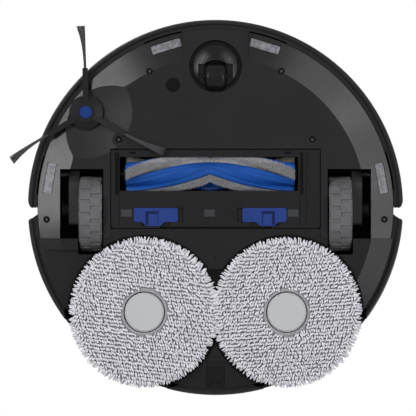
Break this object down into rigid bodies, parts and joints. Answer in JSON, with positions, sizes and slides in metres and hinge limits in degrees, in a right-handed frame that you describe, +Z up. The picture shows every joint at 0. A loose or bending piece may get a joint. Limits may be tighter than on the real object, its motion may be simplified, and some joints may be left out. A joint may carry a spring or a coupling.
{
  "type": "robot vacuum",
  "caption": "Round robot vacuum and mop with a roller brush behind a latched guard, a side brush, spinning mop pads, drive wheels, a caster and a laser turret.",
  "frame": {"origin": "on the floor under the centre of the round body, at the height of the lowest points of the wheels and mop pads", "axes": "+Z up; the front with the bumper and caster is towards -Y and the mop pads are towards +Y; +X is the side of the body across the roller from the side brush"},
  "size_m": [0.367, 0.35, 0.098],
  "materials": {
    "shell": "smooth satin black",
    "bumper_plastic": "satin dark grey",
    "inner_plastic": "plain black",
    "gloss_black": "polished, passes infrared",
    "lens": "frosted grey",
    "grey_plastic": "fine grain",
    "blue_plastic": "satin",
    "tyre": "grey rubber",
    "caster_plastic": "smooth",
    "steel": "plain",
    "screw_steel": "blackened",
    "contact_metal": "nickel",
    "bristle": "nylon bristles",
    "roller_blue": "soft blue rubber",
    "roller_grey": "short grey bristles",
    "roller_tube": "plain",
    "mop_cloth": "chenille pile",
    "mop_white": "light grey",
    "battery_wrap": "wrapped cells",
    "board": "green laminate",
    "tank": "translucent, filled",
    "bin_plastic": "smoked",
    "filter": "pleated",
    "motor_metal": "drawn can"
  },
  "bodies": {
    "vacuum_body": {"front_underpan": "shell", "rear_underpan": "shell", "rear_shell": "shell", "upper_deck": "shell", "wheel_housings": "inner_plastic", "wheel_pivot_pins": "steel", "brush_housing": "inner_plastic", "roller_bearing": "inner_plastic", "brush_motor": "motor_metal", "brush_gearbox": "grey_plastic", "side_brush_motor": "motor_metal", "suction_fan": "inner_plastic", "battery": "battery_wrap", "circuit_boards": "board", "bumper_switches": "inner_plastic", "bumper_springs": "steel", "cliff_windows": "lens", "carpet_sensor": "inner_plastic", "underside_screws": "screw_steel", "charging_contacts": "contact_metal", "dock_port": "inner_plastic", "water_tank": "tank", "mop_lift_motor": "motor_metal", "lidar_base": "inner_plastic", "lidar_cover": "shell", "lidar_window": "gloss_black", "left_wheel_spring": "steel", "right_wheel_spring": "steel"},
    "bumper_body": {"bumper": "bumper_plastic", "bumper_window": "gloss_black"},
    "left_wheel_swingarm": {"left_wheel_arm": "inner_plastic"},
    "left_wheel": {"left_wheel_hub": "grey_plastic", "left_tyre": "tyre"},
    "right_wheel_swingarm": {"right_wheel_arm": "inner_plastic"},
    "right_wheel": {"right_wheel_hub": "grey_plastic", "right_tyre": "tyre"},
    "caster_swivel": {"caster_fork": "caster_plastic", "caster_axle": "steel"},
    "caster_roller": {"caster_wheel": "caster_plastic"},
    "side_brush": {"side_brush_hub": "grey_plastic", "side_brush_cap": "blue_plastic", "side_brush_bristles": "bristle"},
    "roller_brush": {"roller_core": "roller_tube", "roller_fins": "roller_blue", "roller_bristles": "roller_grey"},
    "guard": {"brush_guard": "shell", "guard_pads": "grey_plastic"},
    "left_latch_slider": {"left_latch": "blue_plastic"},
    "right_latch_slider": {"right_latch": "blue_plastic"},
    "mop_lift": {"mop_carriage": "inner_plastic"},
    "left_mop": {"left_mop_plate": "mop_white", "left_mop_pad": "mop_cloth"},
    "right_mop": {"right_mop_plate": "mop_white", "right_mop_pad": "mop_cloth"},
    "lidar_head": {"lidar_rotor": "inner_plastic"},
    "cover": {"top_cover": "shell"},
    "bin": {"dust_bin": "bin_plastic", "bin_filter": "filter"},
    "power_key": {"power_button": "grey_plastic"},
    "home_key": {"home_button": "grey_plastic"}
  },
  "joints": [
    {"name": "bumper_push", "type": "slide", "parent": "vacuum_body", "child": "bumper_body", "axis": [0, 1, 0], "range_m": [0, 0.004], "stiffness_N_per_m": 300, "springref_m": -0.003, "deforming": ["bumper_springs"]},
    {"name": "left_wheel_droop", "type": "hinge", "parent": "vacuum_body", "child": "left_wheel_swingarm", "pos_m": [-0.1325, -0.031, 0.036], "axis": [-1, 0, 0], "range_deg": [0, 28], "stiffness_Nm_per_rad": 0.08, "springref_deg": 68.75, "deforming": ["left_wheel_spring", "side_brush_bristles"]},
    {"name": "right_wheel_droop", "type": "hinge", "parent": "vacuum_body", "child": "right_wheel_swingarm", "pos_m": [0.1325, -0.031, 0.036], "axis": [-1, 0, 0], "range_deg": [0, 28], "stiffness_Nm_per_rad": 0.08, "springref_deg": 68.75, "deforming": ["right_wheel_spring"]},
    {"name": "left_wheel_spin", "type": "hinge", "parent": "left_wheel_swingarm", "child": "left_wheel", "pos_m": [-0.1163, 0.0063, 0.0352], "axis": [1, 0, 0], "continuous": true},
    {"name": "right_wheel_spin", "type": "hinge", "parent": "right_wheel_swingarm", "child": "right_wheel", "pos_m": [0.1163, 0.0063, 0.0352], "axis": [1, 0, 0], "continuous": true},
    {"name": "caster_turn", "type": "hinge", "parent": "vacuum_body", "child": "caster_swivel", "pos_m": [0, -0.1314, 0.034], "axis": [0, 0, 1], "continuous": true},
    {"name": "caster_spin", "type": "hinge", "parent": "caster_swivel", "child": "caster_roller", "pos_m": [0, -0.122, 0.0125], "axis": [1, 0, 0], "continuous": true},
    {"name": "side_brush_spin", "type": "hinge", "parent": "vacuum_body", "child": "side_brush", "pos_m": [-0.1206, -0.0886, 0.017], "axis": [0, 0, 1], "continuous": true},
    {"name": "roller_spin", "type": "hinge", "parent": "vacuum_body", "child": "roller_brush", "pos_m": [0, -0.0312, 0.0186], "axis": [1, 0, 0], "continuous": true},
    {"name": "guard_open", "type": "hinge", "parent": "vacuum_body", "child": "guard", "pos_m": [0, -0.0522, 0.01075], "axis": [-1, 0, 0], "range_deg": [0, 100]},
    {"name": "left_latch_slide", "type": "slide", "parent": "guard", "child": "left_latch_slider", "axis": [1, 0, 0], "range_m": [0, 0.005]},
    {"name": "right_latch_slide", "type": "slide", "parent": "guard", "child": "right_latch_slider", "axis": [-1, 0, 0], "range_m": [0, 0.005]},
    {"name": "mop_raise", "type": "slide", "parent": "vacuum_body", "child": "mop_lift", "axis": [0, 0, 1], "range_m": [0, 0.009]},
    {"name": "left_mop_spin", "type": "hinge", "parent": "mop_lift", "child": "left_mop", "pos_m": [-0.0661, 0.0973, 0], "axis": [0, 0, 1], "continuous": true},
    {"name": "right_mop_spin", "type": "hinge", "parent": "mop_lift", "child": "right_mop", "pos_m": [0.0661, 0.0973, 0], "axis": [0, 0, 1], "continuous": true},
    {"name": "lidar_spin", "type": "hinge", "parent": "vacuum_body", "child": "lidar_head", "pos_m": [0, 0.066, 0.082], "axis": [0, 0, 1], "continuous": true},
    {"name": "cover_lift", "type": "slide", "parent": "vacuum_body", "child": "cover", "axis": [0, 0, 1], "range_m": [0, 0.12]},
    {"name": "bin_lift", "type": "slide", "parent": "vacuum_body", "child": "bin", "axis": [0, 0, 1], "range_m": [0, 0.06]},
    {"name": "power_press", "type": "slide", "parent": "vacuum_body", "child": "power_key", "axis": [0, 0, -1], "range_m": [0, 0.001], "stiffness_N_per_m": 500, "springref_m": -0.001},
    {"name": "home_press", "type": "slide", "parent": "vacuum_body", "child": "home_key", "axis": [0, 0, -1], "range_m": [0, 0.001], "stiffness_N_per_m": 500, "springref_m": -0.001}
  ],
  "couplings": [
    {"joint": "right_mop_spin", "follows": "left_mop_spin", "ratio": -1},
    {"joint": "bin_lift", "follows": "cover_lift", "ratio": 0.5}
  ]
}
